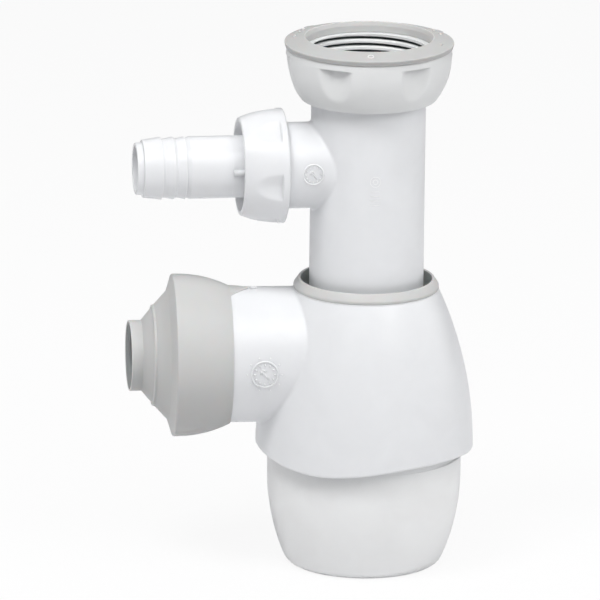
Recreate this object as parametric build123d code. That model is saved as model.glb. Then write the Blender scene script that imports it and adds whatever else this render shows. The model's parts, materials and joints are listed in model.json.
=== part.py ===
from build123d import *
from math import atan2, cos, hypot, sqrt
import os

# Bottle trap for a kitchen sink, in millimetres. The origin is the centre of the cup's flat base.
# +Z runs up the inlet tube, the waste outlet points to -X and the back of the trap is +Y.

# Gaps between pieces
slip_gap = 0.35          # a piece that turns or slides in another with room to spare
lip_gap = 0.05           # a soft lip round the tube, and a soft piece in its seat

# Inlet tube
tube_radius = 22.0
tube_wall = 2.2
tube_bottom = 45.0       # height of the tube's lower end as it stands in the photograph
tube_end_chamfer = 0.8
flange_reach = 1.4       # the flange beyond the tube
flange_thickness = 2.6

# Inlet union nut, for a 1 1/2 inch pipe thread
nut_bottom = 184.1
nut_height = 20.1
nut_wall = 7.85          # at the mouth, over the thread
nut_arc_radius = 29.0    # the bowl's side in section
nut_arc_drop = 2.6       # straight side above the start of that arc
nut_foot_rounding = 0.8
nut_floor = 3.0
nut_thread_reach = 2.05  # the thread's largest radius beyond the tube
nut_relief = 0.4         # extra radius round the flange and washer
grip_count = 6
nut_grip_depth = 2.4
nut_grip_radius = 13.5
nut_grip_tilt = 2.5      # degrees
nut_grip_turn = -59.5    # degrees, direction of one grip hollow
nut_grip_top = 2.4       # plain band left above the hollows

# Soft ring moulded on the union nut
ring_overhang = 0.6      # beyond the nut
ring_thickness = 2.0     # at its rim
ring_lip_rise = 2.05     # its top slopes up this far to the mouth
ring_lip_depth = 0.3     # the part of the ring that lines the nut's mouth
ring_lip_thickness = 1.5
ring_lug_width = 4.2
ring_lug_reach = 0.8
ring_lug_rise = 0.5
ring_lug_directions = (131.0, 29.0)

# Flat washer on the tube's flange
washer_thickness = 2.6
washer_inner_gap = 0.4
washer_outer_gap = 0.5

# Side branch of the tube, for a 1 inch hose union
branch_level = 158.0
branch_turn = 3.0        # degrees that the branch points towards the front
branch_radius = 16.6
branch_wall = 2.7
branch_reach = 17.15     # the branch beyond the tube
branch_thread_length = 6.2
branch_thread_depth = 1.2
branch_rounding = 1.2    # where it meets the tube

# Hose union nut
hose_nut_gap = 10.8      # from the tube to the nut's wide rim
hose_nut_length = 17.05
hose_nut_wall = 5.5      # at the wide rim, over the branch
hose_nut_mid_taper = 0.75
hose_nut_end_taper = 3.4
hose_nut_rounding = 0.7
hose_nut_floor = 2.4
hose_nut_end_wall = 1.5
hose_grip_depth = 1.7
hose_grip_radius = 14.5
hose_grip_wall = 2.5     # plain rim left beside the hollows
hose_grip_turn = -39.0   # degrees

# Hose tail
nozzle_radius = 12.0
nozzle_bore_radius = 8.8
nozzle_neck_relief = 0.2
nozzle_collar_inset = 0.7  # the collar inwards from the branch's outside
nozzle_collar_thickness = 2.4
nozzle_length = 48.85
nozzle_tip_radius = 10.0
nozzle_tip_length = 2.7
barb_count = 2
barb_first_length = 7.8
barb_first_root = 11.1
barb_root = 11.4
barb_pitch = 4.55
barb_ramp = 3.4
barb_crest = 12.05
fin_length = 7.0
fin_thickness = 3.2
fin_height = 0.9
fin_turn = -87.0         # degrees
hose_washer_thickness = 2.0

# Outlet branch on the body
outlet_drop = 0.3        # its top below the neck's
outlet_radius = 26.1
outlet_wall = 2.7
outlet_reach = 30.0      # the outlet beyond the body's widest radius
bead_height = 2.65
bead_width = 10.0
bead_ramp = 6.0
bead_chamfer = 1.0
outlet_rounding = 1.0    # where it meets the bell

# Trap body
water_space = 20.0       # from the tube to the body's widest radius
body_wall = 2.3
bell_top = 108.5
bell_overrun = 3.0       # the bell is carried on this far above the neck's foot, then trimmed
neck_rise = 0.6          # the neck above the bell
neck_wall = 2.0
seat_space = 4.0         # from the tube to the wall of the soft neck ring's recess
seat_depth = 4.8
seat_wall = 1.6
roof_thickness = 2.2
ledge_thickness = 2.0
ledge_reach = 2.15       # the ledge inwards from the cup's outside
skirt_level = 45.6       # the bell's side is upright here
skirt_blank = 6.0        # length left below that level, for the waved edge to be cut from
skirt_rounding = 0.9
# The lower edge rises and falls by these amounts with 0, 1, 2, 3 and 4 waves a turn from the outlet
skirt_waves = (0.04, -0.90, 0.80, 1.53, 0.18)
skirt_samples = 13

# Dip sleeve, hung from the neck's recess under the soft ring
sleeve_gap = 0.5         # round the tube
sleeve_wall = 1.7
sleeve_bottom = 15.0
sleeve_flange_thickness = 1.6

# Soft ring in the body's neck
neck_ring_height = 3.85
neck_ring_gap = 3.2      # from the tube to the cap
neck_ring_bevel_width = 1.9
neck_ring_bevel_height = 2.6
neck_lip_thickness = 1.0
neck_lip_rise = 1.6

# Outlet seal, each place as distance beyond the outlet's end and outer radius beyond the outlet's
seal_edge_place = (-19.2, 0.55)
seal_shoulder_place = (-8.4, 4.25)
seal_rim_place = (1.4, 5.35)
seal_rim_lip = 0.8
seal_flare_place = (4.9, -0.75)
seal_step_place = (8.9, -6.5)
seal_step_length = 1.6
seal_step_inset = 1.2
seal_throat_place = (14.6, -12.6)
seal_mouth_place = (19.6, -12.45)
seal_mouth_lip = 0.57
seal_wall = 1.5
tongue_length = 7.2
tongue_width = 14.4

# Cup
cup_thread_space = 2.35  # between the cup and the skirt
cup_wall = 2.4
cup_floor = 2.6
cup_cover = 8.4          # the cup's rim above the skirt's edge
cup_arc_radius = 85.0
cup_arc_level = 36.0     # the cup's side is upright above this
cup_base_rounding = 5.0
cup_seal_thickness = 2.0
cup_seal_inner_reach = 0.4
cup_seal_outer_reach = 1.2

# Sizes that follow from those above
tube_bore = tube_radius - tube_wall
flange_radius = tube_radius + flange_reach
flange_level = nut_bottom + nut_floor
flange_top = flange_level + flange_thickness
nut_top = nut_bottom + nut_height
nut_thread_radius = tube_radius + nut_thread_reach
nut_radius = nut_thread_radius + nut_wall
ring_radius = nut_radius + ring_overhang
relief_radius = nut_thread_radius + nut_relief
relief_top = flange_top + washer_thickness
branch_bore = branch_radius - branch_wall
branch_length = tube_radius + branch_reach
hose_washer_end = branch_length + hose_washer_thickness
hose_floor_start = hose_washer_end + nozzle_collar_thickness
hose_nut_radius = branch_radius + hose_nut_wall
hose_nut_end_radius = hose_nut_radius - hose_nut_end_taper
nozzle_collar_radius = branch_radius - nozzle_collar_inset
hose_nut_start = tube_radius + hose_nut_gap
hose_nut_end = hose_nut_start + hose_nut_length
nozzle_end = hose_washer_end + nozzle_length
fin_start = hose_floor_start + hose_nut_floor + slip_gap
nozzle_plain_start = fin_start + fin_length
sleeve_radius = tube_radius + sleeve_gap
sleeve_outer_radius = sleeve_radius + sleeve_wall
body_radius = tube_radius + water_space
skirt_bore = body_radius - body_wall
seat_radius = tube_radius + seat_space
neck_radius = seat_radius + neck_wall
neck_top = bell_top + neck_rise
neck_ring_inner_radius = tube_radius + neck_ring_gap
seat_floor = neck_top - seat_depth
sleeve_seat = seat_floor - sleeve_flange_thickness
roof_level = sleeve_seat - roof_thickness
bell_drop = body_radius - neck_radius
bell_arc_radius = ((bell_top - skirt_level) ** 2 + bell_drop**2) / (2 * bell_drop)
outlet_level = neck_top - outlet_drop - outlet_radius
outlet_bore = outlet_radius - outlet_wall
outlet_length = body_radius + outlet_reach
bead_start = outlet_length - bead_width
bead_radius = outlet_radius + bead_height
cup_radius = skirt_bore - cup_thread_space
cup_top = skirt_level + cup_cover
ledge_level = cup_top + cup_seal_thickness
ledge_inner_radius = cup_radius - ledge_reach


def turned(*edges):
    """A solid turned about Z from edges drawn as (radius, height)."""
    return revolve(Plane.XZ * make_face(edges), Axis.Z)


def turned_outline(*points):
    """A solid turned about Z from a straight-sided outline of (radius, height) points."""
    return turned(Polyline(*points, close=True))


def tube_shape(outer, inner, bottom, top):
    """A plain ring from one height to another."""
    return turned_outline((inner, bottom), (outer, bottom), (outer, top), (inner, top))


def rod_shape(radius, bottom, top):
    """A plain round rod from one height to another."""
    return Pos(0, 0, bottom) * Cylinder(radius, top - bottom, align=(Align.CENTER, Align.CENTER, Align.MIN))


def arc_drop(radius, distance):
    """How far an arc has fallen away from its upright tangent."""
    return radius - sqrt(radius**2 - distance**2)


# Frames whose local Z runs out along the outlet and the hose branch, with local X upwards
outlet_frame = Pos(0, 0, outlet_level) * Rot(0, -90, 0)
branch_frame = Pos(0, 0, branch_level) * Rot(0, 0, branch_turn) * Rot(0, -90, 0)


def make_inlet_tube():
    """Tube with the flange that the nut pulls on, and the side branch, in one moulding."""
    thread_start = branch_length - branch_thread_length
    outside = rod_shape(tube_radius, tube_bottom, flange_top) + branch_frame * rod_shape(branch_radius, 0, thread_start)
    outside = fillet(outside.edges().filter_by(GeomType.BSPLINE), branch_rounding)
    outside = chamfer(outside.edges().group_by(Axis.Z)[0], tube_end_chamfer)
    outside += rod_shape(flange_radius, flange_level, flange_top)
    outside += branch_frame * rod_shape(branch_radius - branch_thread_depth, tube_radius, branch_length)
    outside -= rod_shape(tube_bore, tube_bottom, flange_top)
    return outside - branch_frame * rod_shape(branch_bore, 0, branch_length)


def make_inlet_washer():
    """Flat soft washer between the tube's flange and the sink's waste."""
    inner = tube_bore + washer_inner_gap
    return tube_shape(relief_radius - washer_outer_gap, inner, flange_top, flange_top + washer_thickness)


def grip_cutter(surface_radius, depth, cutter_radius, wide_end, narrow_end, tilt):
    """Round cutter for one hollow: its wide end starts at a flat ledge, and it leans inwards from there."""
    centre = surface_radius - depth + cutter_radius
    length = abs(narrow_end - wide_end)
    lean = tilt if narrow_end < wide_end else -tilt
    cutter = Cylinder(cutter_radius, 2 * length)
    side = 2 * cutter_radius
    middle = (length if narrow_end > wide_end else -length) / 2
    cutter &= Pos(0, 0, middle) * Box(side, side, length)
    return Pos(centre, 0, wide_end) * Rot(0, lean, 0) * cutter


def make_inlet_nut():
    """Bowl-shaped union nut with six grip hollows, its thread left as a plain bore."""
    arc_top = nut_top - nut_arc_drop
    foot = nut_radius - arc_drop(nut_arc_radius, arc_top - nut_bottom)
    middle = (arc_top + nut_bottom) / 2
    side = ThreePointArc(
        (foot, nut_bottom),
        (nut_radius - arc_drop(nut_arc_radius, arc_top - middle), middle),
        (nut_radius, arc_top),
    )
    rest = Polyline((nut_radius, arc_top), (nut_radius, nut_top), (0, nut_top), (0, nut_bottom), (foot, nut_bottom))
    nut = turned(*side.edges(), *rest.edges())
    nut = fillet(nut.edges().group_by(Axis.Z)[0], nut_foot_rounding)
    hollow = grip_cutter(
        nut_radius, nut_grip_depth, nut_grip_radius, nut_top - nut_grip_top, nut_bottom, nut_grip_tilt
    )
    for n in range(grip_count):
        nut -= Rot(0, 0, nut_grip_turn + n * 360 / grip_count) * hollow
    nut -= rod_shape(tube_radius + slip_gap, nut_bottom, flange_level)
    nut -= rod_shape(relief_radius, flange_level, relief_top)
    nut -= rod_shape(nut_thread_radius, relief_top, nut_top)
    lip_radius = nut_thread_radius + ring_lip_thickness
    return nut - rod_shape(lip_radius, nut_top - ring_lip_depth, nut_top)


def make_inlet_nut_ring():
    """Soft ring on the nut's top face: its top slopes up to the mouth, and it has two small lugs."""
    ring_top = nut_top + ring_thickness
    lip_radius = nut_thread_radius + ring_lip_thickness
    ring = turned_outline(
        (nut_thread_radius, nut_top),
        (ring_radius, nut_top),
        (ring_radius, ring_top),
        (nut_thread_radius, ring_top + ring_lip_rise),
    )
    ring += tube_shape(lip_radius, nut_thread_radius, nut_top - ring_lip_depth, nut_top)
    lug_radius = (ring_lug_width / 2) ** 2 / (2 * ring_lug_reach) + ring_lug_reach / 2
    for direction in ring_lug_directions:
        lug_centre = ring_radius + ring_lug_reach - lug_radius
        lug = Pos(lug_centre, 0, 0) * rod_shape(lug_radius, nut_top, ring_top + ring_lug_rise)
        ring += Rot(0, 0, direction) * lug
    return ring


def make_hose_nut():
    """Union nut of the hose tail: recessed outer end, flat floor and six grip hollows."""
    middle = (hose_nut_start + hose_nut_end) / 2
    side = ThreePointArc(
        (hose_nut_radius, hose_nut_start),
        (hose_nut_radius - hose_nut_mid_taper, middle),
        (hose_nut_end_radius, hose_nut_end),
    )
    rest = Polyline(
        (hose_nut_end_radius, hose_nut_end), (0, hose_nut_end), (0, hose_nut_start), (hose_nut_radius, hose_nut_start)
    )
    nut = turned(*side.edges(), *rest.edges())
    nut = fillet(nut.edges().filter_by(GeomType.CIRCLE).group_by(Axis.Z)[-1], hose_nut_rounding)
    nut = fillet(nut.edges().filter_by(GeomType.CIRCLE).group_by(Axis.Z)[0], hose_nut_rounding)
    hollow = grip_cutter(
        hose_nut_radius, hose_grip_depth, hose_grip_radius, hose_nut_start + hose_grip_wall, hose_nut_end, 0
    )
    for n in range(grip_count):
        nut -= Rot(0, 0, hose_grip_turn + n * 360 / grip_count) * hollow
    floor_end = hose_floor_start + hose_nut_floor
    nut -= rod_shape(branch_radius + slip_gap, hose_nut_start, hose_floor_start)
    nut -= rod_shape(nozzle_radius + slip_gap, hose_floor_start, floor_end)
    nut -= rod_shape(hose_nut_end_radius - hose_nut_end_wall, floor_end, hose_nut_end)
    return branch_frame * nut


def make_hose_nozzle():
    """Hose tail: a collar inside the nut, a plain stretch, three barbs and a stepped tip."""
    neck = nozzle_radius - nozzle_neck_relief
    tip_start = nozzle_end - nozzle_tip_length
    first_edge = tip_start - barb_first_length
    last_edge = first_edge - barb_count * barb_pitch
    points = [
        (nozzle_bore_radius, hose_washer_end),
        (nozzle_collar_radius, hose_washer_end),
        (nozzle_collar_radius, hose_floor_start),
        (neck, hose_floor_start),
        (neck, nozzle_plain_start),
        (nozzle_radius, nozzle_plain_start),
        (nozzle_radius, last_edge - barb_ramp / 2),
        (barb_root, last_edge),
    ]
    for n in reversed(range(barb_count)):
        edge = first_edge - (n + 1) * barb_pitch
        points += [(barb_crest, edge), (barb_root, edge + barb_ramp)]
    points += [
        (barb_root, first_edge),
        (barb_crest, first_edge),
        (barb_first_root, tip_start),
        (nozzle_tip_radius, tip_start),
        (nozzle_tip_radius, nozzle_end),
        (nozzle_bore_radius, nozzle_end),
    ]
    nozzle = turned_outline(*points)
    fin = Box(fin_height + nozzle_neck_relief, fin_thickness, fin_length, align=(Align.MIN, Align.CENTER, Align.MIN))
    ridge = Rot(0, 0, fin_turn) * Pos(neck - nozzle_neck_relief, 0, fin_start) * fin
    return branch_frame * (nozzle + ridge)


def make_hose_washer():
    """Flat soft washer between the branch's end and the hose tail's collar."""
    washer = tube_shape(nozzle_collar_radius, nozzle_bore_radius + washer_inner_gap, branch_length, hose_washer_end)
    return branch_frame * washer


def skirt_edge(x, y):
    """Height of the body's waved lower edge, carried smoothly across the whole plan."""
    distance = hypot(x, y) / body_radius
    angle = atan2(-y, -x)
    return skirt_level + sum(size * distance**n * cos(n * angle) for n, size in enumerate(skirt_waves))


def below_skirt():
    """Everything below the waved lower edge, as a block under a smooth surface."""
    half = body_radius + 2 * body_wall
    places = [half * (2 * n / (skirt_samples - 1) - 1) for n in range(skirt_samples)]
    grid = [[Vector(x, y, skirt_edge(x, y)) for y in places] for x in places]
    return Solid.extrude(Face.make_surface_from_array_of_points(grid), Vector(0, 0, -3 * skirt_blank))


def bell_section(radius, top):
    """Filled bell from the skirt up to a height, in the plane of (radius, height)."""
    bottom = skirt_level - skirt_blank
    arc_radius = bell_arc_radius - (body_radius - radius)
    middle = (skirt_level + top) / 2
    top_radius = radius - arc_drop(arc_radius, top - skirt_level)
    side = ThreePointArc(
        (radius, skirt_level),
        (radius - arc_drop(arc_radius, middle - skirt_level), middle),
        (top_radius, top),
    )
    rest = Polyline((top_radius, top), (0, top), (0, bottom), (radius, bottom), (radius, skirt_level))
    return (*side.edges(), *rest.edges())


def make_trap_body():
    """Bell body with its outlet branch, neck and waved skirt, in one moulding."""
    outlet_outside = turned_outline(
        (0, 0),
        (outlet_radius, 0),
        (outlet_radius, bead_start - bead_ramp),
        (bead_radius, bead_start),
        (bead_radius, outlet_length - bead_chamfer),
        (bead_radius - bead_chamfer, outlet_length),
        (0, outlet_length),
    )
    cavity = turned(*bell_section(skirt_bore, roof_level))
    outside = turned(*bell_section(body_radius, bell_top + bell_overrun)) + outlet_frame * outlet_outside
    outside = fillet(outside.edges().filter_by(GeomType.BSPLINE), outlet_rounding)
    outside -= rod_shape(neck_radius, bell_top, bell_top + 2 * bell_overrun)
    body = outside - below_skirt() - cavity
    skirt_edges = body.edges().filter_by(lambda edge: edge.bounding_box().max.Z < skirt_level + skirt_blank)
    body = fillet(skirt_edges, skirt_rounding)
    body += rod_shape(neck_radius, bell_top, neck_top)
    body += tube_shape(skirt_bore, ledge_inner_radius, ledge_level, ledge_level + ledge_thickness)
    body -= outlet_frame * rod_shape(outlet_bore, sleeve_outer_radius, outlet_length)
    body += tube_shape(seat_radius + seat_wall, sleeve_outer_radius, roof_level, neck_top)
    body -= rod_shape(sleeve_outer_radius + lip_gap, roof_level, neck_top)
    return body - rod_shape(seat_radius, sleeve_seat, neck_top)


def make_dip_sleeve():
    """Sleeve that carries the waste down into the cup, hung by its flange in the neck's recess."""
    sleeve = tube_shape(sleeve_outer_radius, sleeve_radius, sleeve_bottom, seat_floor)
    return sleeve + tube_shape(seat_radius - lip_gap, sleeve_radius, sleeve_seat, seat_floor)


def make_neck_seal():
    """Soft ring on the body's neck: rounded cap, a skirt in the recess and a lip round the tube."""
    top = neck_top + neck_ring_height
    lip_radius = tube_radius + lip_gap
    skirt_outer = seat_radius - lip_gap
    skirt_bottom = seat_floor
    lip_top = skirt_bottom + neck_lip_rise + neck_lip_thickness
    return turned_outline(
        (neck_ring_inner_radius, top),
        (neck_radius - neck_ring_bevel_width, top),
        (neck_radius, top - neck_ring_bevel_height),
        (neck_radius, neck_top),
        (skirt_outer, neck_top),
        (skirt_outer, skirt_bottom),
        (neck_ring_inner_radius - neck_lip_thickness, skirt_bottom),
        (lip_radius, skirt_bottom + neck_lip_thickness),
        (lip_radius, skirt_bottom + 2 * neck_lip_thickness),
        (neck_ring_inner_radius - neck_lip_thickness, skirt_bottom + 2 * neck_lip_thickness),
        (neck_ring_inner_radius, lip_top + neck_lip_rise),
    )


def seal_point(place):
    """A place on the seal as (radius, distance along the outlet)."""
    beyond, proud = place
    return outlet_radius + proud, outlet_length + beyond


def make_outlet_seal():
    """Soft bell over the outlet's bead, closed by a stepped cone that grips pipes of several sizes."""
    seat = outlet_radius + lip_gap
    bead_seat = bead_radius + lip_gap
    end_seat = outlet_length + lip_gap
    edge_radius, edge_along = seal_point(seal_edge_place)
    rim_radius, rim_along = seal_point(seal_rim_place)
    flare_radius, flare_along = seal_point(seal_flare_place)
    step_radius, step_along = seal_point(seal_step_place)
    throat_radius, throat_along = seal_point(seal_throat_place)
    mouth_radius, mouth_along = seal_point(seal_mouth_place)
    bell = ThreePointArc((edge_radius, edge_along), seal_point(seal_shoulder_place), (rim_radius, rim_along))
    flare = ThreePointArc(
        (rim_radius, rim_along + seal_rim_lip),
        ((rim_radius + flare_radius) / 2 - seal_rim_lip, (rim_along + flare_along) / 2 + seal_rim_lip / 2),
        (flare_radius, flare_along),
    )
    step_end = step_along + seal_step_length
    cone = Polyline(
        (flare_radius, flare_along),
        (step_radius, step_along),
        (step_radius, step_end),
        (step_radius - seal_step_inset, step_end),
        (throat_radius, throat_along),
        (mouth_radius, mouth_along),
        (mouth_radius - seal_mouth_lip, mouth_along),
        (throat_radius - seal_wall, mouth_along - seal_wall),
        (throat_radius - seal_wall, throat_along - seal_wall / 2),
        (step_radius - seal_step_inset - seal_wall, step_end - seal_wall / 2),
        (step_radius - seal_step_inset - seal_wall, step_along - seal_wall),
        (outlet_bore, flare_along - seal_wall),
        (outlet_bore, end_seat),
        (bead_seat - bead_chamfer, end_seat),
        (bead_seat, end_seat - bead_chamfer),
        (bead_seat, bead_start),
        (seat, bead_start - bead_ramp),
        (seat, edge_along),
        (edge_radius, edge_along),
    )
    lip = Line((rim_radius, rim_along), (rim_radius, rim_along + seal_rim_lip))
    seal = turned(*bell.edges(), *lip.edges(), *flare.edges(), *cone.edges())
    tongue_root = edge_along + seal_wall
    tongue_tip = edge_along - tongue_length
    shell = tube_shape(edge_radius, seat, tongue_tip, tongue_root)
    wedge = make_face(
        Polyline(
            (tongue_root, tongue_width / 2),
            (edge_along, tongue_width / 2),
            (tongue_tip, 0),
            (edge_along, -tongue_width / 2),
            (tongue_root, -tongue_width / 2),
            close=True,
        )
    )
    prism = extrude(Plane(origin=(0, 0, 0), x_dir=(0, 0, 1), z_dir=(1, 0, 0)) * wedge, 2 * outlet_radius)
    return outlet_frame * (seal + (shell & prism))


def cup_section(radius, bottom, top, arc_radius):
    """Filled cup shape of one radius, in the plane of (radius, height)."""
    bottom_radius = radius - arc_drop(arc_radius, cup_arc_level - bottom)
    middle = (bottom + cup_arc_level) / 2
    side = ThreePointArc(
        (bottom_radius, bottom),
        (radius - arc_drop(arc_radius, cup_arc_level - middle), middle),
        (radius, cup_arc_level),
    )
    rest = Polyline((radius, cup_arc_level), (radius, top), (0, top), (0, bottom), (bottom_radius, bottom))
    return (*side.edges(), *rest.edges())


def make_cup():
    """Removable cup that holds the water seal and catches what sinks."""
    outside = turned(*cup_section(cup_radius, 0, cup_top, cup_arc_radius))
    outside = fillet(outside.edges().filter_by(GeomType.CIRCLE).group_by(Axis.Z)[0], cup_base_rounding)
    inside = turned(*cup_section(cup_radius - cup_wall, cup_floor, cup_top, cup_arc_radius - cup_wall))
    inner_rounding = cup_base_rounding - cup_wall
    inside = fillet(inside.edges().filter_by(GeomType.CIRCLE).group_by(Axis.Z)[0], inner_rounding)
    return outside - inside


def make_cup_seal():
    """Flat soft ring squeezed between the cup's rim and the ledge inside the body."""
    inner = cup_radius - cup_wall - cup_seal_inner_reach
    return tube_shape(cup_radius + cup_seal_outer_reach, inner, cup_top, ledge_level)


# Each node's name and the function that makes it
makers = {
    "inlet_nut": make_inlet_nut,
    "inlet_nut_ring": make_inlet_nut_ring,
    "inlet_washer": make_inlet_washer,
    "inlet_tube": make_inlet_tube,
    "hose_washer": make_hose_washer,
    "hose_nozzle": make_hose_nozzle,
    "hose_nut": make_hose_nut,
    "neck_seal": make_neck_seal,
    "trap_body": make_trap_body,
    "dip_sleeve": make_dip_sleeve,
    "outlet_seal": make_outlet_seal,
    "cup": make_cup,
    "cup_seal": make_cup_seal,
}

os.makedirs("parts", exist_ok=True)
for name, make in makers.items():
    export_step(make(), f"parts/{name}.step")
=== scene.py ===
import json
from math import cos, exp, hypot, pi, radians, sin, sqrt, tan

import bmesh
import bpy
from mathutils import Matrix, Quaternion, Vector

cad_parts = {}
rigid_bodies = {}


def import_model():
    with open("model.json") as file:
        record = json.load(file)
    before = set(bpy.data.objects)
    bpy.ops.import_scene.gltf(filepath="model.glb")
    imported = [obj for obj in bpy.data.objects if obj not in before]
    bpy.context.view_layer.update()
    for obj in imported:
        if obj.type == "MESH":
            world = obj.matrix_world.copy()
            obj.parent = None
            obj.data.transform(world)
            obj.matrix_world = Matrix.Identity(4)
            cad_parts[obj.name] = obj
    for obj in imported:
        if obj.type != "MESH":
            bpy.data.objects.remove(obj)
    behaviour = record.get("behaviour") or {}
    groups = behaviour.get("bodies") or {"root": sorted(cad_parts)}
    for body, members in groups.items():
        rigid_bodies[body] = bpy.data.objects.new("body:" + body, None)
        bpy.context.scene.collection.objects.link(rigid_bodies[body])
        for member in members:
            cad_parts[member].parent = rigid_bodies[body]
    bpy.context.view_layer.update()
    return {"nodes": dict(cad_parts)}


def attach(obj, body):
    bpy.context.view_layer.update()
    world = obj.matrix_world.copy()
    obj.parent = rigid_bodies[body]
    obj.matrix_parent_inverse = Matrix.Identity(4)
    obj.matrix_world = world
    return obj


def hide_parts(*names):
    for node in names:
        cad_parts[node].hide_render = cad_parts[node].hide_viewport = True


# Bottle trap for a kitchen sink. Lengths are in millimetres and angles in degrees, as on a drawing,
# and become metres where a mesh is made. Z runs up the inlet tube and the outlet points to -X.
for leftover in list(bpy.data.objects):
    bpy.data.objects.remove(leftover)
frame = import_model()
MM = 0.001

# Studio: white paper under and behind the trap, which the camera sees as plain white with a faint
# shadow. Large softboxes light the trap from all round, and two smaller lamps, in front on the right
# and high on the left, draw its soft shadows.
CAMERA_TURN = -5.0
CAMERA_RISE = 15.05
CAMERA_ROLL = 0.68
CAMERA_DISTANCE = 5000.0
SENSOR_WIDTH = 36.0
FRAME_WIDTH = 230.8          # width of the picture at the trap
LOOK_HEIGHT = 103.42
LOOK_LEFT = 25.36
FLOOR_RADIUS = 1500.0
FLOOR_STEPS = 96
PAPER_WHITE = "#FFFFFF"
PAPER_STRENGTH = 1.0
PAPER_SHARE = 0.9            # of what the camera sees of the floor; the rest keeps the trap's shadow
FLOOR_GREY = "#EEEEEF"
SKY_HIGH = "#F2F4F7"
SKY_LOW = "#8E9093"
SKY_STRENGTH = 0.08
SKY_RANGE = (-0.1, 0.9)      # upward part of a direction between which the low sky turns into the high
COLOUR_MIX = {"data_type": "RGBA"}
MIX_FIRST = 6                # a Mix node's sockets when it mixes colours
MIX_SECOND = 7
MIX_RESULT = 2


def linear(code):
    """An sRGB hex colour as linear red, green, blue and alpha."""
    parts = [int(code[k:k + 2], 16) / 255 for k in (1, 3, 5)]
    return [c / 12.92 if c <= 0.04045 else ((c + 0.055) / 1.055) ** 2.4 for c in parts] + [1.0]


def add(tree, kind, settings=None, links=None):
    """Adds a shader node, with its settings and its linked inputs, both by name."""
    node = tree.nodes.new(kind)
    for name, value in (settings or {}).items():
        if isinstance(name, int) or name in node.inputs:
            node.inputs[name].default_value = value
        else:
            setattr(node, name, value)
    for name, output in (links or {}).items():
        tree.links.new(output, node.inputs[name])
    return node


def new_material(name):
    """An empty node material, with its tree and its output node."""
    material = bpy.data.materials.new(name)
    material.use_nodes = True
    material.node_tree.nodes.clear()
    return material, material.node_tree, material.node_tree.nodes.new("ShaderNodeOutputMaterial")


def make_piece(name, points, faces, material):
    """A smooth mesh object from points in millimetres."""
    mesh = bpy.data.meshes.new(name)
    mesh.from_pydata([Vector(point) * MM for point in points], [], faces)
    shape = bmesh.new()
    shape.from_mesh(mesh)
    bmesh.ops.recalc_face_normals(shape, faces=shape.faces)
    shape.to_mesh(mesh)
    shape.free()
    mesh.shade_smooth()
    mesh.materials.append(material)
    piece = bpy.data.objects.new(name, mesh)
    bpy.context.scene.collection.objects.link(piece)
    return piece


floor_paint, tree, output = new_material("matt_paper_floor")
path = add(tree, "ShaderNodeLightPath")
matt = add(tree, "ShaderNodeBsdfDiffuse", {"Color": linear(FLOOR_GREY)})
glow = add(tree, "ShaderNodeEmission", {"Color": linear(PAPER_WHITE), "Strength": PAPER_STRENGTH})
white = add(
    tree, "ShaderNodeMath", {"operation": "MULTIPLY", 1: PAPER_SHARE}, {0: path.outputs["Is Camera Ray"]}
)
mixed = add(tree, "ShaderNodeMixShader", {}, {0: white.outputs[0], 1: matt.outputs[0], 2: glow.outputs[0]})
tree.links.new(mixed.outputs[0], output.inputs["Surface"])

rim = [
    (FLOOR_RADIUS * cos(2 * pi * k / FLOOR_STEPS), FLOOR_RADIUS * sin(2 * pi * k / FLOOR_STEPS), 0.0)
    for k in range(FLOOR_STEPS)
]
floor = make_piece("floor", rim, [tuple(range(FLOOR_STEPS))], floor_paint)
floor.visible_shadow = False

world = bpy.data.worlds.new("studio")
world.use_nodes = True
bpy.context.scene.world = world
tree = world.node_tree
tree.nodes.clear()
path = add(tree, "ShaderNodeLightPath")
spot = add(tree, "ShaderNodeTexCoord")
part = add(tree, "ShaderNodeSeparateXYZ", {}, {0: spot.outputs["Generated"]})
height = add(
    tree,
    "ShaderNodeMapRange",
    {"interpolation_type": "SMOOTHSTEP", "From Min": SKY_RANGE[0], "From Max": SKY_RANGE[1]},
    {"Value": part.outputs["Z"]},
)
sky = add(
    tree,
    "ShaderNodeMix",
    COLOUR_MIX | {MIX_FIRST: linear(SKY_LOW), MIX_SECOND: linear(SKY_HIGH)},
    {"Factor": height.outputs["Result"]},
)
soft = add(tree, "ShaderNodeBackground", {"Strength": SKY_STRENGTH}, {"Color": sky.outputs[MIX_RESULT]})
paper = add(tree, "ShaderNodeBackground", {"Color": linear(PAPER_WHITE), "Strength": PAPER_STRENGTH})
links = {0: path.outputs["Is Camera Ray"], 1: soft.outputs[0], 2: paper.outputs[0]}
seen = add(tree, "ShaderNodeMixShader", {}, links)
add(tree, "ShaderNodeOutputWorld", {}, {"Surface": seen.outputs[0]})

LAMP_AIM = Vector((-20.0, 0.0, 100.0))
LAMPS = (                    # name, azimuth, elevation, width and watts
    ("front_softbox", 0.0, 52.0, 800.0, 4.5),
    ("key_lamp", 36.0, 34.0, 300.0, 1.9),
    ("left_lamp", -42.0, 60.0, 380.0, 6.4),
    ("right_softbox", 50.0, 48.0, 900.0, 2.7),
    ("overhead_softbox", 0.0, 88.0, 1200.0, 1.6),
    ("back_softbox", 180.0, 58.0, 900.0, 2.0),
    ("back_left_softbox", -150.0, 25.0, 900.0, 1.1),
    ("back_right_softbox", 150.0, 25.0, 900.0, 1.1),
    ("left_side_fill", -95.0, 15.0, 900.0, 2.0),
    ("right_side_fill", 95.0, 15.0, 900.0, 2.7),
)
LAMP_DISTANCE = 1200.0


def from_direction(azimuth, elevation):
    """Unit vector towards a place seen at an azimuth and elevation from the trap; 0, 0 is the front."""
    level = cos(radians(elevation))
    return Vector((sin(radians(azimuth)) * level, -cos(radians(azimuth)) * level, sin(radians(elevation))))


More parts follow.
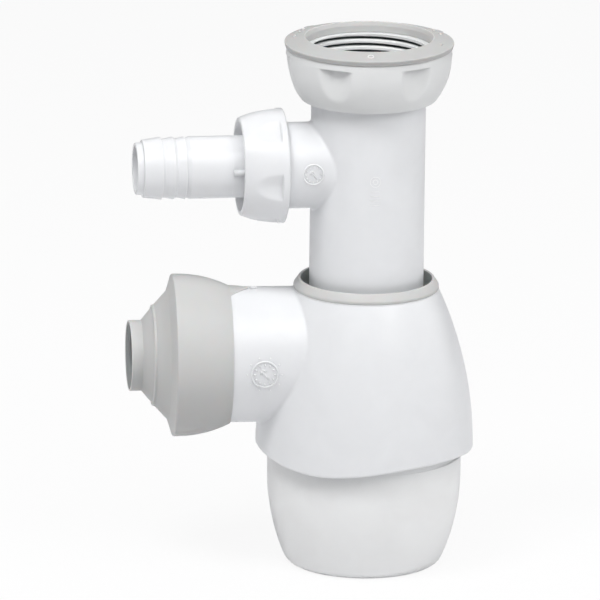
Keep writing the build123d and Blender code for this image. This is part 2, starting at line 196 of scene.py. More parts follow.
for name, azimuth, elevation, width, watts in LAMPS:
    lamp = bpy.data.lights.new(name, "AREA")
    lamp.shape = "SQUARE"
    lamp.size = width * MM
    lamp.energy = watts
    held = bpy.data.objects.new(name, lamp)
    away = from_direction(azimuth, elevation)
    held.location = (LAMP_AIM + away * LAMP_DISTANCE) * MM
    held.rotation_mode = "QUATERNION"
    held.rotation_quaternion = (-away).to_track_quat("-Z", "Y")
    bpy.context.scene.collection.objects.link(held)

back = from_direction(CAMERA_TURN, CAMERA_RISE)
right = Vector((cos(radians(CAMERA_TURN)), sin(radians(CAMERA_TURN)), 0.0))
look = Vector((0.0, 0.0, LOOK_HEIGHT)) - right * LOOK_LEFT
lens = bpy.data.cameras.new("camera")
lens.sensor_width = SENSOR_WIDTH
lens.lens = SENSOR_WIDTH * CAMERA_DISTANCE / FRAME_WIDTH
camera = bpy.data.objects.new("camera", lens)
camera.location = (look + back * CAMERA_DISTANCE) * MM
camera.rotation_mode = "QUATERNION"
roll = Quaternion((0.0, 0.0, 1.0), radians(CAMERA_ROLL))
camera.rotation_quaternion = (-back).to_track_quat("-Z", "Y") @ roll
bpy.context.scene.collection.objects.link(camera)
bpy.context.scene.camera = camera
bpy.context.scene.view_settings.view_transform = "Standard"

# Trap body: bell, neck, outlet branch and waved skirt in one shot of white polypropylene,
# injection moulded in a polished tool. It holds everything else. A small date wheel is moulded
# on the outlet.
PP_WHITE = "#EAEBED"
PP_SHADE = "#8F9396"         # painted shade in tight corners
PP_CLOUDING = 0.965          # how much darker the flow clouds are
PP_EDGE_HIGHLIGHT = "#FFFFFF"          # painted highlight on thin edges, standing in for light that comes through them
BODY_CORNERS = (2.5, 0.2)    # painted shade darkens corners within this distance, with this strength
CORNER_SAMPLES = 8
EDGE_REACH = 0.6             # the painted highlight on edges reaches this far
PP_EDGE_SHARE = 0.6
PP_ROUGHNESS = (0.27, 0.35)  # where the flow clouds are palest and darkest
PP_IOR = 1.49
PP_GLOW_DEPTH = 1.2          # how far light wanders inside the plastic
FLOW_WIDTH = 14.0            # cloudy flow marks from the melt
PEEL_WIDTH = 2.2             # slow waves left by the cooling skin
PEEL_HEIGHT = 0.004
OUTLET_LEVEL = 82.7
OUTLET_RADIUS = 26.1
UPRIGHT_AXIS = (1, 1, 0)     # 0 along the axis, 1 across it
OUTLET_AXIS = (0, 1, 1)
TRAP_CENTRE = (0, 0, 0)
OUTLET_CENTRE = (0, 0, OUTLET_LEVEL)
THREAD_TONE_MARGIN = 0.2     # how far a thread's painted highlight and shade reach past its root
RIB_SECTION = ((-0.5, -0.3), (-0.42, 0.45), (-0.2, 1.0), (0.2, 1.0), (0.42, 0.45), (0.5, -0.3))
PIP_STEPS = 16
PIP_LEVELS = ((1.0, -0.3), (0.92, 0.45), (0.6, 0.9))     # shares of a pip's radius and height
WHEEL_STEPS = 48
WHEEL_TICKS = 12
TICK_REACH = (0.68, 0.84)    # shares of the wheel's radius
TICK_WIDTH = 0.7             # share of the ring's line
ARROW_LEAN = 52.0
ARROW_REACH = 0.45
ARROW_HEAD = 0.35
ARROW_SPREAD = 0.75          # radians between its shaft and each side of its head
OUTLET_WHEEL_ALONG = 40.9
OUTLET_WHEEL_TURN = -92.6
OUTLET_WHEEL_RADIUS = 5.1
OUTLET_WHEEL_LINE = (0.85, 0.5)          # width and height
OUTLET_PIP_COUNT = 10
OUTLET_PIP_GAP = 1.6
OUTLET_PIP = (0.35, 0.4)                 # radius and height


def corner_share(tree, reach, power):
    """How open a spot is: 1 on open surfaces, towards 0 in grooves and tight corners, where the materials
    paint shade.
    """
    openness = add(tree, "ShaderNodeAmbientOcclusion", {"samples": CORNER_SAMPLES, "Distance": reach * MM})
    share = add(tree, "ShaderNodeMath", {"operation": "POWER", 1: power}, {0: openness.outputs["AO"]})
    return share.outputs[0]


def edge_share(tree, strength):
    """How thin the piece is at a spot: 0 on thick walls, towards the strength on sharp edges."""
    depth = add(
        tree,
        "ShaderNodeAmbientOcclusion",
        {"samples": CORNER_SAMPLES, "Distance": EDGE_REACH * MM, "inside": True, "only_local": True},
    )
    return add(
        tree, "ShaderNodeMapRange", {"To Min": strength, "To Max": 0.0}, {"Value": depth.outputs["AO"]}
    ).outputs["Result"]


def facing_share(tree, low, high):
    """How far a spot faces up: 0 where its normal's upward part is below low, 1 above high."""
    normal = add(tree, "ShaderNodeNewGeometry").outputs["Normal"]
    part = add(tree, "ShaderNodeSeparateXYZ", {}, {0: normal})
    return add(
        tree,
        "ShaderNodeMapRange",
        {"interpolation_type": "SMOOTHSTEP", "From Min": low, "From Max": high},
        {"Value": part.outputs["Z"]},
    ).outputs["Result"]


def near_axis(tree, spot, across, centre, radius):
    """Whether a spot is nearer an axis than a radius, as 1 or 0, and how far off it is.

    across is 0 along the axis and 1 across it.
    """
    shift = {"operation": "SUBTRACT", 1: [c * MM for c in centre]}
    off = add(tree, "ShaderNodeVectorMath", shift, {0: spot.outputs["Object"]})
    flat = add(tree, "ShaderNodeVectorMath", {"operation": "MULTIPLY", 1: across}, {0: off.outputs["Vector"]})
    length = add(tree, "ShaderNodeVectorMath", {"operation": "LENGTH"}, {0: flat.outputs["Vector"]})
    away = length.outputs["Value"]
    near = add(tree, "ShaderNodeMath", {"operation": "LESS_THAN", 1: radius * MM}, {0: away})
    return near.outputs[0], away


def darker(code, factor):
    """A hex colour made darker, as a hex colour."""
    return "#" + "".join(f"{round(int(code[k:k + 2], 16) * factor):02X}" for k in (1, 3, 5))


def moulded_polypropylene(name, tone, corners, low=None, thread=None):
    """Moulded polypropylene: milky, with a soft gloss, faint flow clouds and very shallow waves, and a
    painted highlight on its thin edges.

    corners gives how far and how strongly painted shade darkens its corners, and low the range of
    facing_share and the factor by which painted shade makes an underside darker. thread gives the
    radii between which painted shade darkens a thread's root, the heights between which it lies, and
    the tones of the painted highlight on the crest and the painted shade in the root.
    """
    material, tree, output = new_material(name)
    spot = add(tree, "ShaderNodeTexCoord")
    flow = add(
        tree,
        "ShaderNodeTexNoise",
        {"Scale": 1 / (FLOW_WIDTH * MM), "Detail": 3.0, "Roughness": 0.55, "Distortion": 0.6},
        {"Vector": spot.outputs["Object"]},
    )
    clouds = COLOUR_MIX | {MIX_FIRST: linear(tone), MIX_SECOND: linear(darker(tone, PP_CLOUDING))}
    paint = add(tree, "ShaderNodeMix", clouds, {"Factor": flow.outputs["Fac"]}).outputs[MIX_RESULT]
    # painted shade on what faces down
    if low:
        under = COLOUR_MIX | {MIX_FIRST: linear(darker(tone, low[2]))}
        links = {"Factor": facing_share(tree, low[0], low[1]), MIX_SECOND: paint}
        paint = add(tree, "ShaderNodeMix", under, links).outputs[MIX_RESULT]
    # painted shade in corners and creases
    links = {"Factor": corner_share(tree, *corners), MIX_SECOND: paint}
    paint = add(tree, "ShaderNodeMix", COLOUR_MIX | {MIX_FIRST: linear(PP_SHADE)}, links).outputs[MIX_RESULT]
    # painted highlight on thin edges
    links = {"Factor": edge_share(tree, PP_EDGE_SHARE), MIX_FIRST: paint}
    paint = add(tree, "ShaderNodeMix", COLOUR_MIX | {MIX_SECOND: linear(PP_EDGE_HIGHLIGHT)}, links).outputs[MIX_RESULT]
    # painted highlight on the thread's crests and painted shade in its roots
    if thread:
        crest_radius, root_radius, bottom, top, crest_highlight, root_shade = thread
        near, away = near_axis(tree, spot, UPRIGHT_AXIS, TRAP_CENTRE, root_radius + THREAD_TONE_MARGIN)
        depth = add(
            tree,
            "ShaderNodeMapRange",
            {"interpolation_type": "SMOOTHSTEP", "From Min": crest_radius * MM, "From Max": root_radius * MM},
            {"Value": away},
        )
        part = add(tree, "ShaderNodeSeparateXYZ", {}, {0: spot.outputs["Object"]})
        heights = {"operation": "COMPARE", 1: (top + bottom) / 2 * MM, 2: (top - bottom) / 2 * MM}
        within = add(tree, "ShaderNodeMath", heights, {0: part.outputs["Z"]})
        inside = add(tree, "ShaderNodeMath", {"operation": "MULTIPLY"}, {0: within.outputs[0], 1: near})
        tones = COLOUR_MIX | {MIX_FIRST: linear(crest_highlight), MIX_SECOND: linear(root_shade)}
        groove = add(tree, "ShaderNodeMix", tones, {"Factor": depth.outputs["Result"]}).outputs[MIX_RESULT]
        links = {"Factor": inside.outputs[0], MIX_FIRST: paint, MIX_SECOND: groove}
        paint = add(tree, "ShaderNodeMix", COLOUR_MIX, links).outputs[MIX_RESULT]
    gloss = add(
        tree,
        "ShaderNodeMapRange",
        {"To Min": PP_ROUGHNESS[0], "To Max": PP_ROUGHNESS[1]},
        {"Value": flow.outputs["Fac"]},
    )
    peel = add(
        tree,
        "ShaderNodeTexNoise",
        {"Scale": 1 / (PEEL_WIDTH * MM), "Detail": 2.0},
        {"Vector": spot.outputs["Object"]},
    )
    bump = add(
        tree,
        "ShaderNodeBump",
        {"Strength": 1.0, "Distance": PEEL_HEIGHT * MM},
        {"Height": peel.outputs["Fac"]},
    )
    shader = add(
        tree,
        "ShaderNodeBsdfPrincipled",
        {"IOR": PP_IOR, "Subsurface Weight": 0.08, "Subsurface Scale": PP_GLOW_DEPTH * MM,
         "Subsurface Radius": (1.0, 0.95, 0.9)},
        {"Base Color": paint, "Roughness": gloss.outputs["Result"], "Normal": bump.outputs["Normal"]},
    )
    tree.links.new(shader.outputs["BSDF"], output.inputs["Surface"])
    return material


white_plastic = moulded_polypropylene("moulded_polypropylene", PP_WHITE, BODY_CORNERS)


def finish_node(name, material):
    """Gives a node its material."""
    node = frame["nodes"][name]
    node.data.materials.clear()
    node.data.materials.append(material)


finish_node("trap_body", white_plastic)
finish_node("dip_sleeve", white_plastic)


def on_outlet(x, y, z):
    """From a frame with Z out along the outlet and X up, to the trap's own frame."""
    return (-z, y, OUTLET_LEVEL + x)


def wrap(place, radius, along, direction):
    """Maps (along, around, height) near a spot on a round surface to the trap's frame."""
    def spot(a, b, height):
        angle = radians(direction) + b / radius
        r = radius + height
        return place(r * cos(angle), r * sin(angle), along + a)
    return spot


def rib(points, faces, spot, line, width, height, closed=False):
    """Adds one raised line with a rounded back to a mesh, along (along, around) places.

    Its section is in shares of its width and height.
    """
    first = len(points)
    count = len(line)
    for k, (a, b) in enumerate(line):
        before = line[k - 1] if closed or k else line[k]
        after = line[(k + 1) % count] if closed or k < count - 1 else line[k]
        da, db = after[0] - before[0], after[1] - before[1]
        size = hypot(da, db)
        for across, up in RIB_SECTION:
            points.append(spot(a - across * width * db / size, b + across * width * da / size, up * height))
    sides = len(RIB_SECTION)
    for k in range(count if closed else count - 1):
        here, there = first + k * sides, first + (k + 1) % count * sides
        for m in range(sides):
            n = (m + 1) % sides
            faces.append((here + m, here + n, there + n, there + m))
    if not closed:
        faces.append(tuple(range(first, first + sides)))
        faces.append(tuple(range(first + (count - 1) * sides, first + count * sides)))


def circle(radius, steps, a=0.0, b=0.0):
    """Places on a circle round (a, b)."""
    turns = [2 * pi * k / steps for k in range(steps)]
    return [(a + radius * cos(turn), b + radius * sin(turn)) for turn in turns]


def date_wheel(name, spot, radius, width, height):
    """A moulder's date wheel: a ring with short ticks and an arrow inside it."""
    points, faces = [], []
    rib(points, faces, spot, circle(radius, WHEEL_STEPS), width, height, closed=True)
    for k in range(WHEEL_TICKS):
        angle = 2 * pi * k / WHEEL_TICKS
        line = [(radius * share * cos(angle), radius * share * sin(angle)) for share in TICK_REACH]
        rib(points, faces, spot, line, TICK_WIDTH * width, height)
    lean = radians(ARROW_LEAN)
    tip = (ARROW_REACH * radius * cos(lean), ARROW_REACH * radius * sin(lean))
    rib(points, faces, spot, [(-tip[0], -tip[1]), tip], width, height)
    head = ARROW_HEAD * radius
    for side in (-ARROW_SPREAD, ARROW_SPREAD):
        barb = (tip[0] - head * cos(lean + side), tip[1] - head * sin(lean + side))
        rib(points, faces, spot, [barb, tip], width, height)
    return make_piece(name, points, faces, white_plastic)


def pips(name, spot, places, radius, height):
    """A few small round pips, as one mesh."""
    points, faces = [], []
    for a, b in places:
        first = len(points)
        for share, up in PIP_LEVELS:
            points += [spot(x, y, up * height) for x, y in circle(share * radius, PIP_STEPS, a, b)]
        top = len(points) - PIP_STEPS
        for here in range(first, top, PIP_STEPS):
            for k in range(PIP_STEPS):
                n = (k + 1) % PIP_STEPS
                faces.append((here + k, here + n, here + PIP_STEPS + n, here + PIP_STEPS + k))
        faces.append(tuple(range(top, top + PIP_STEPS)))
        faces.append(tuple(range(first, first + PIP_STEPS)))
    return make_piece(name, points, faces, white_plastic)


outlet_spot = wrap(on_outlet, OUTLET_RADIUS, OUTLET_WHEEL_ALONG, OUTLET_WHEEL_TURN)
outlet_wheel = date_wheel("outlet_date_wheel", outlet_spot, OUTLET_WHEEL_RADIUS, *OUTLET_WHEEL_LINE)
pip_places = circle(OUTLET_WHEEL_RADIUS + OUTLET_PIP_GAP, OUTLET_PIP_COUNT)
outlet_pips = pips("outlet_wheel_pips", outlet_spot, pip_places, *OUTLET_PIP)
for piece in (outlet_wheel, outlet_pips):
    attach(piece, "trap")

# Outlet seal: a bell of soft grey thermoplastic elastomer, stretched over the outlet's bead and
# closed by a stepped cone that grips the waste pipe. Its pointed tongue lies on top of the outlet,
# up to a small stop nub moulded there.
ELASTOMER_GREY = "#C9C9C8"
# painted shade in tight corners
ELASTOMER_SHADE = "#4A4E4E"
ELASTOMER_CLOUDING = 0.975
# painted highlight on thin edges
ELASTOMER_EDGE_HIGHLIGHT = "#F6F6F5"
ELASTOMER_UNDERSIDE_SHADE = 0.88         # painted shade: how much darker it is on what faces down
UNDERSIDE_SHADE_RANGE = (-0.95, 0.35)  # upward part of the normal between which the painted underside shade fades out
SEAL_CORNERS = (8.0, 0.8)
SEAL_INSIDE_SHADE = "#909393"      # painted shade in the dim hollow behind its mouth
SEAL_INSIDE_RADIUS = 12.9
ELASTOMER_EDGE_SHARE = 0.7
ELASTOMER_ROUGHNESS = 0.5
ELASTOMER_IOR = 1.48
ELASTOMER_GLOW_DEPTH = 0.6
GRAIN_WIDTH = 0.35
GRAIN_HEIGHT = 0.003
SEAL_STEPS = 256
SEAL_EDGE = (52.8, 26.65)
SEAL_SHOULDER = (63.6, 30.35)
SEAL_RIM = (73.4, 31.25)
SEAL_RIM_LIP = 1.25
SEAL_FLARE_BOW = 0.15
SEAL_FLARE = (76.65, 24.9)
SEAL_STEP = (81.6, 19.45)
SEAL_STEP_LENGTH = 0.95
SEAL_STEP_INSET = 1.2
SEAL_THROAT = (86.6, 13.5)
SEAL_MOUTH = (91.35, 13.65)
SEAL_MOUTH_TILT = 0.03       # how far the soft mouth turns to the front
SEAL_WALL = 1.5
SEAL_LIP = 0.62              # thickness of its mouth
SEAL_SIDE_STEPS = 28
SEAL_FLARE_STEPS = 14
OUTLET_BORE = 23.4
OUTLET_END = 72.0
BEAD_RADIUS = 28.75
BEAD_START = 62.0
BEAD_RAMP = 6.0
FIT = 0.05                   # between one piece and the next
ARC_STEP = 12.0              # degrees, on rounded corners
ARC_LEAST = 3


def soft_elastomer(name, tone, corners, bore=None):
    """Thermoplastic elastomer: dull, a little translucent, with a fine moulded grain, painted shade
    on what faces down and in its corners, and a painted highlight on its thin edges.

    bore gives the axis and centre of a hollow inside, its radius and the tone painted inside it:
    painted shade in the outlet seal and neck ring, painted light in the nut ring.
    """
    material, tree, output = new_material(name)
    spot = add(tree, "ShaderNodeTexCoord")
    cloud = add(
        tree,
        "ShaderNodeTexNoise",
        {"Scale": 1 / (FLOW_WIDTH * MM), "Detail": 4.0, "Roughness": 0.6},
        {"Vector": spot.outputs["Object"]},
    )
    clouds = COLOUR_MIX | {MIX_FIRST: linear(tone), MIX_SECOND: linear(darker(tone, ELASTOMER_CLOUDING))}
    paint = add(tree, "ShaderNodeMix", clouds, {"Factor": cloud.outputs["Fac"]}).outputs[MIX_RESULT]
    # painted shade on what faces down
    under = COLOUR_MIX | {MIX_FIRST: linear(darker(tone, ELASTOMER_UNDERSIDE_SHADE))}
    links = {"Factor": facing_share(tree, *UNDERSIDE_SHADE_RANGE), MIX_SECOND: paint}
    paint = add(tree, "ShaderNodeMix", under, links).outputs[MIX_RESULT]
    # painted shade in corners and creases
    corner = COLOUR_MIX | {MIX_FIRST: linear(ELASTOMER_SHADE)}
    links = {"Factor": corner_share(tree, *corners), MIX_SECOND: paint}
    paint = add(tree, "ShaderNodeMix", corner, links).outputs[MIX_RESULT]
    # painted tone inside a hollow: shade in the outlet seal and neck ring, light in the nut ring
    if bore:
        across, centre, radius, inside_paint = bore
        near = near_axis(tree, spot, across, centre, radius)[0]
        hollow = COLOUR_MIX | {MIX_SECOND: linear(inside_paint)}
        paint = add(tree, "ShaderNodeMix", hollow, {"Factor": near, MIX_FIRST: paint}).outputs[MIX_RESULT]
    # painted highlight on thin edges
    thin = COLOUR_MIX | {MIX_SECOND: linear(ELASTOMER_EDGE_HIGHLIGHT)}
    links = {"Factor": edge_share(tree, ELASTOMER_EDGE_SHARE), MIX_FIRST: paint}
    paint = add(tree, "ShaderNodeMix", thin, links).outputs[MIX_RESULT]
    grain = add(
        tree,
        "ShaderNodeTexNoise",
        {"Scale": 1 / (GRAIN_WIDTH * MM), "Detail": 2.0},
        {"Vector": spot.outputs["Object"]},
    )
    bump = add(
        tree,
        "ShaderNodeBump",
        {"Strength": 1.0, "Distance": GRAIN_HEIGHT * MM},
        {"Height": grain.outputs["Fac"]},
    )
    shader = add(
        tree,
        "ShaderNodeBsdfPrincipled",
        {"IOR": ELASTOMER_IOR, "Roughness": ELASTOMER_ROUGHNESS, "Subsurface Weight": 0.12,
         "Subsurface Scale": ELASTOMER_GLOW_DEPTH * MM, "Sheen Weight": 0.15, "Sheen Roughness": 0.5},
        {"Base Color": paint, "Normal": bump.outputs["Normal"]},
    )
    tree.links.new(shader.outputs["BSDF"], output.inputs["Surface"])
    return material


grey_elastomer = soft_elastomer("soft_elastomer", ELASTOMER_GREY, SEAL_CORNERS)
seal_elastomer = soft_elastomer(
    "seal_elastomer",
    ELASTOMER_GREY,
    SEAL_CORNERS,
    (OUTLET_AXIS, OUTLET_CENTRE, SEAL_INSIDE_RADIUS, SEAL_INSIDE_SHADE),
)


def rounded(*corners):
    """Closed outline through (radius, height, rounding) corners, each rounding drawn as an arc."""
    outline = []
    count = len(corners)
    for k, (x, y, size) in enumerate(corners):
        corner = Vector((x, y))
        if not size:
            outline.append((x, y))
            continue
        back_way = (Vector(corners[k - 1][:2]) - corner).normalized()
        on_way = (Vector(corners[(k + 1) % count][:2]) - corner).normalized()
        half = back_way.angle(on_way) / 2
        centre = corner + (back_way + on_way).normalized() * size / sin(half)
        start = corner + back_way * size / tan(half) - centre
        end = corner + on_way * size / tan(half) - centre
        sweep = start.angle(end)
        arc_steps = max(ARC_LEAST, round(sweep / radians(ARC_STEP)))
        for n in range(arc_steps + 1):
            first_share = sin((1 - n / arc_steps) * sweep) / sin(sweep)
            last_share = sin(n / arc_steps * sweep) / sin(sweep)
            point = centre + start * first_share + end * last_share
            outline.append((point.x, point.y))
    return outline


def divided(outline, longest):
    """The same closed outline with its long stretches cut into equal short ones."""
    fine = []
    for k, (x, y) in enumerate(outline):
        u, v = outline[(k + 1) % len(outline)]
        pieces = max(1, round(hypot(u - x, v - y) / longest))
        fine += [(x + (u - x) * n / pieces, y + (v - y) * n / pieces) for n in range(pieces)]
    return fine


def arc_through(start, middle, end, steps):
    """Points on the circle through three places, from the first to the last."""
    (ax, ay), (bx, by), (cx, cy) = start, middle, end
    d = 2 * (ax * (by - cy) + bx * (cy - ay) + cx * (ay - by))
    sa, sb, sc = ax * ax + ay * ay, bx * bx + by * by, cx * cx + cy * cy
    centre = Vector(((sa * (by - cy) + sb * (cy - ay) + sc * (ay - by)) / d,
                     (sa * (cx - bx) + sb * (ax - cx) + sc * (bx - ax)) / d))
    first, last = Vector(start) - centre, Vector(end) - centre
    sweep = first.angle(last)
    spread = []
    for n in range(steps + 1):
        t = n / steps
        point = centre + first * (sin((1 - t) * sweep) / sin(sweep)) + last * (sin(t * sweep) / sin(sweep))
        spread.append((point.x, point.y))
    return spread


def turned_piece(name, outline, steps, place, material, radius_at=None):
    """A closed outline turned about its axis. radius_at(angle, radius, height) may move a point."""
    points, faces = [], []
    count = len(outline)
    for k in range(steps):
        angle = 2 * pi * k / steps
        for radius, height in outline:
            r = radius_at(angle, radius, height) if radius_at else radius
            points.append(place(r * cos(angle), r * sin(angle), height))
    for k in range(steps):
        here, there = k * count, (k + 1) % steps * count
        for m in range(count):
            n = (m + 1) % count
            faces.append((here + m, there + m, there + n, here + n))
    return make_piece(name, points, faces, material)


def flipped(*places):
    """(distance, radius) places as (radius, distance)."""
    return [(radius, along) for along, radius in places]


edge, shoulder, rim_place, flare, step, throat, mouth = flipped(
    SEAL_EDGE, SEAL_SHOULDER, SEAL_RIM, SEAL_FLARE, SEAL_STEP, SEAL_THROAT, SEAL_MOUTH
)
rim_lip = (rim_place[0], rim_place[1] + SEAL_RIM_LIP)
bell_side = arc_through(edge, shoulder, rim_place, SEAL_SIDE_STEPS)
flare_side = arc_through(
    rim_lip,
    ((rim_lip[0] + flare[0]) / 2 - SEAL_FLARE_BOW, (rim_place[1] + flare[1]) / 2 + SEAL_RIM_LIP / 2),
    flare,
    SEAL_FLARE_STEPS,
)
step_end = step[1] + SEAL_STEP_LENGTH
seal_outline = rounded(
    (edge[0], edge[1], 0.12),
    *[(radius, along, 0) for radius, along in bell_side[1:-1]],
    (rim_place[0] + 0.05, rim_place[1] + 0.1, 0.35),
    (rim_lip[0] + 0.02, rim_lip[1] + 0.05, 0.6),
    *[(radius, along, 0) for radius, along in flare_side[2:-1]],
    (flare[0], flare[1], 0),
    (step[0] + 0.1, step[1], 0.2),
    (step[0], step_end, 0.35),
    (step[0] - SEAL_STEP_INSET, step_end + 0.15, 0.4),
    (throat[0] + 0.1, throat[1], 0.5),
    (mouth[0], mouth[1], 0.28),
    (mouth[0] - SEAL_LIP, mouth[1], 0.25),
    (throat[0] - SEAL_WALL, mouth[1] - SEAL_WALL, 0.5),
    (throat[0] - SEAL_WALL, throat[1] - SEAL_WALL / 2, 0.6),
    (step[0] - SEAL_STEP_INSET - SEAL_WALL, step_end - SEAL_WALL / 2, 0.3),
    (step[0] - SEAL_STEP_INSET - SEAL_WALL, step[1] - SEAL_WALL, 0.3),
    (OUTLET_BORE, flare[1] - SEAL_WALL, 0.3),
    (OUTLET_BORE, OUTLET_END + FIT, 0),
    (BEAD_RADIUS + FIT - 1.0, OUTLET_END + FIT, 0),
    (BEAD_RADIUS + FIT, OUTLET_END + FIT - 1.0, 0),
    (BEAD_RADIUS + FIT, BEAD_START, 0),
    (OUTLET_RADIUS + FIT, BEAD_START - BEAD_RAMP, 0),
    (OUTLET_RADIUS + FIT, edge[1], 0.12),
)


def in_soft_seal(x, y, z):
    """The outlet's frame, with the seal's mouth tilted a little to the front."""
    share = min(1.0, max(0.0, (z - SEAL_THROAT[0]) / (SEAL_MOUTH[0] - SEAL_THROAT[0])))
    return on_outlet(x, y, z + SEAL_MOUTH_TILT * share * y)


outlet_seal = turned_piece("outlet_seal_skin", seal_outline, SEAL_STEPS, in_soft_seal, seal_elastomer)
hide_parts("outlet_seal")

TONGUE_TIP = 45.4
TONGUE_ROOT = 54.3
TONGUE_WIDTH = 14.4
TONGUE_THICKNESS = 0.55
TONGUE_EDGE = 0.22           # how far its edge is rounded
TONGUE_POINT = 0.25          # half the width of its blunt tip
TONGUE_ROWS = 30
TONGUE_COLUMNS = 24
NUB_ALONG = 43.4
NUB_LENGTH = 2.6
NUB_WIDTH = 1.5
NUB_HEIGHT = 0.9


def tongue_piece():
    """The seal's pointed tongue, wrapped on top of the outlet with soft edges."""
    rows, columns = TONGUE_ROWS, TONGUE_COLUMNS
    points, faces = [], []
    for level in (0, 1):
        for k in range(rows + 1):
            t = k / rows
            along = TONGUE_TIP + (TONGUE_ROOT - TONGUE_TIP) * t
            slope = min(1.0, (along - TONGUE_TIP) / (SEAL_EDGE[0] - TONGUE_TIP))
            half = max(TONGUE_POINT, TONGUE_WIDTH / 2 * slope)
            for m in range(columns + 1):
                across = half * (2 * m / columns - 1)
                inset = min(half - abs(across), along - TONGUE_TIP)
                rounding = sqrt(max(0.0, 1 - (1 - min(1.0, inset / TONGUE_EDGE)) ** 2))
                up = FIT + (TONGUE_THICKNESS - FIT) * rounding if level else -FIT
                angle = across / OUTLET_RADIUS
                r = OUTLET_RADIUS + up
                points.append(on_outlet(r * cos(angle), r * sin(angle), along))
    wide = columns + 1
    sheet = (rows + 1) * wide
    for k in range(rows):
        for m in range(columns):
            a = k * wide + m
            faces.append((a, a + 1, a + wide + 1, a + wide))
            faces.append((sheet + a, sheet + a + 1, sheet + a + wide + 1, sheet + a + wide))
    edge_loop = (
        list(range(columns))
        + [columns + k * wide for k in range(rows)]
        + [rows * wide + columns - m for m in range(columns)]
        + [(rows - k) * wide for k in range(rows)]
    )
    for k, a in enumerate(edge_loop):
        b = edge_loop[(k + 1) % len(edge_loop)]
        faces.append((a, b, sheet + b, sheet + a))
    return make_piece("seal_tongue", points, faces, grey_elastomer)


tongue = tongue_piece()
nub_points, nub_faces = [], []
nub_spot = wrap(on_outlet, OUTLET_RADIUS, NUB_ALONG, 0.0)
nub_line = [(-NUB_LENGTH / 2, 0.0), (NUB_LENGTH / 2, 0.0)]
rib(nub_points, nub_faces, nub_spot, nub_line, NUB_WIDTH, NUB_HEIGHT)
outlet_nub = make_piece("outlet_stop_nub", nub_points, nub_faces, white_plastic)
for piece, slot in ((outlet_seal, "grey_soft"), (tongue, "grey_soft"), (outlet_nub, "white_moulding")):
    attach(piece, "trap")

# Neck seal: a soft grey ring with a rounded cap on the body's neck, a skirt in its recess and a
# thin lip that wipes the inlet tube.
RING_STEPS = 256
NECK_TOP = 109.1
NECK_RING_TOP = 112.95
NECK_RADIUS = 28.0
NECK_RING_INNER = 25.2
NECK_RING_CAP = 2.7          # height of its rounded cap, and how far in the flat top starts
NECK_RING_FLAT = 0.9
WIPER_ROOT = 4.2             # heights of its wiping lip over the recess
WIPER_TOP = 2.0
WIPER_BOTTOM = 1.0
WIPER_BEND = 1.0
SEAT_RADIUS = 26.0
SEAT_FLOOR = 104.3
TUBE_RADIUS = 22.0
NECK_CORNERS = (2.5, 0.6)
# painted shade in the funnel between the ring and the tube
NECK_INSIDE_SHADE = "#A3A8A6"
NECK_INSIDE_RADIUS = 25.35


def upright(x, y, z):
    """The trap's own frame, for what is turned about the tube's axis."""
    return (x, y, z)


neck_outline = rounded(
    (NECK_RADIUS, NECK_TOP + 0.05, 0.3),
    (NECK_RADIUS, NECK_RING_TOP - NECK_RING_CAP, 1.0),
    (NECK_RING_INNER + NECK_RING_FLAT, NECK_RING_TOP + 0.05, 0.35),
    (NECK_RING_INNER, NECK_RING_TOP - 0.1, 0.3),
    (NECK_RING_INNER, SEAT_FLOOR + WIPER_ROOT, 0.8),
    (NECK_RING_INNER - WIPER_BEND, SEAT_FLOOR + WIPER_TOP, 0.3),
    (TUBE_RADIUS + FIT, SEAT_FLOOR + WIPER_TOP, 0.2),
    (TUBE_RADIUS + FIT, SEAT_FLOOR + WIPER_BOTTOM, 0.2),
    (NECK_RING_INNER - WIPER_BEND, SEAT_FLOOR, 0.2),
    (SEAT_RADIUS - FIT, SEAT_FLOOR, 0.2),
    (SEAT_RADIUS - FIT, NECK_TOP + 0.05, 0),
)
neck_elastomer = soft_elastomer(
    "neck_ring_elastomer",
    ELASTOMER_GREY,
    NECK_CORNERS,
    (UPRIGHT_AXIS, TRAP_CENTRE, NECK_INSIDE_RADIUS, NECK_INSIDE_SHADE),
)
neck_seal = turned_piece("neck_seal_skin", neck_outline, RING_STEPS, upright, neck_elastomer)
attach(neck_seal, "neck_ring")
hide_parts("neck_seal")

# Cup and its flat seal: the cup is white polypropylene with a coarse two-turn thread near its rim
# and a rounded foot. The soft ring lies between its rim and the ledge in the body.
CUP_RADIUS = 37.35
CUP_WALL = 2.4
CUP_FLOOR = 2.6
CUP_TOP = 54.0
CUP_ARC_RADIUS = 85.0
CUP_ARC_LEVEL = 36.0
CUP_FOOT_ROUNDING = 5.0
CUP_FOOT_TOP = 6.0           # where the foot's rounding has run out, outside and inside
CUP_INNER_FOOT_TOP = 8.0
CUP_SIDE_STEPS = 26
CUP_INNER_SIDE_STEPS = 20
CUP_RIM_ROUNDING = 0.5
CUP_SKIN_START = 0.4         # the floor's skin starts this far off the axis
CUP_LONGEST = 0.9            # longest stretch of its outline
CUP_SIDE_MARGIN = 0.5
CUP_THREAD_PITCH = 4.0
CUP_THREAD_REACH = 1.7
CUP_THREAD_WIDTH = 1.5
CUP_THREAD_START = 43.4
CUP_THREAD_END = 53.2
CUP_THREAD_FOOT = 0.35       # how far its flanks reach past half its width
CUP_THREAD_FLANK = 0.5
CUP_THREAD_RUNOUT = 1.0
CUP_THREAD_CUTS = 5
CUP_STEPS = 300
CUP_LIT_WHITE = "#F2F3F3"        # painted light: whiter than the body's white, so that the cup looks more lit
# painted shadow of the body's skirt on the cup, drawn as corner shade that reaches far
CUP_CORNERS = (13.0, 0.65)


def side_radius(radius, arc_radius, level, height):
    """Radius of a side that is upright at a level and falls in below it on an arc."""
    return radius - arc_radius + sqrt(arc_radius**2 - max(0.0, level - height) ** 2)


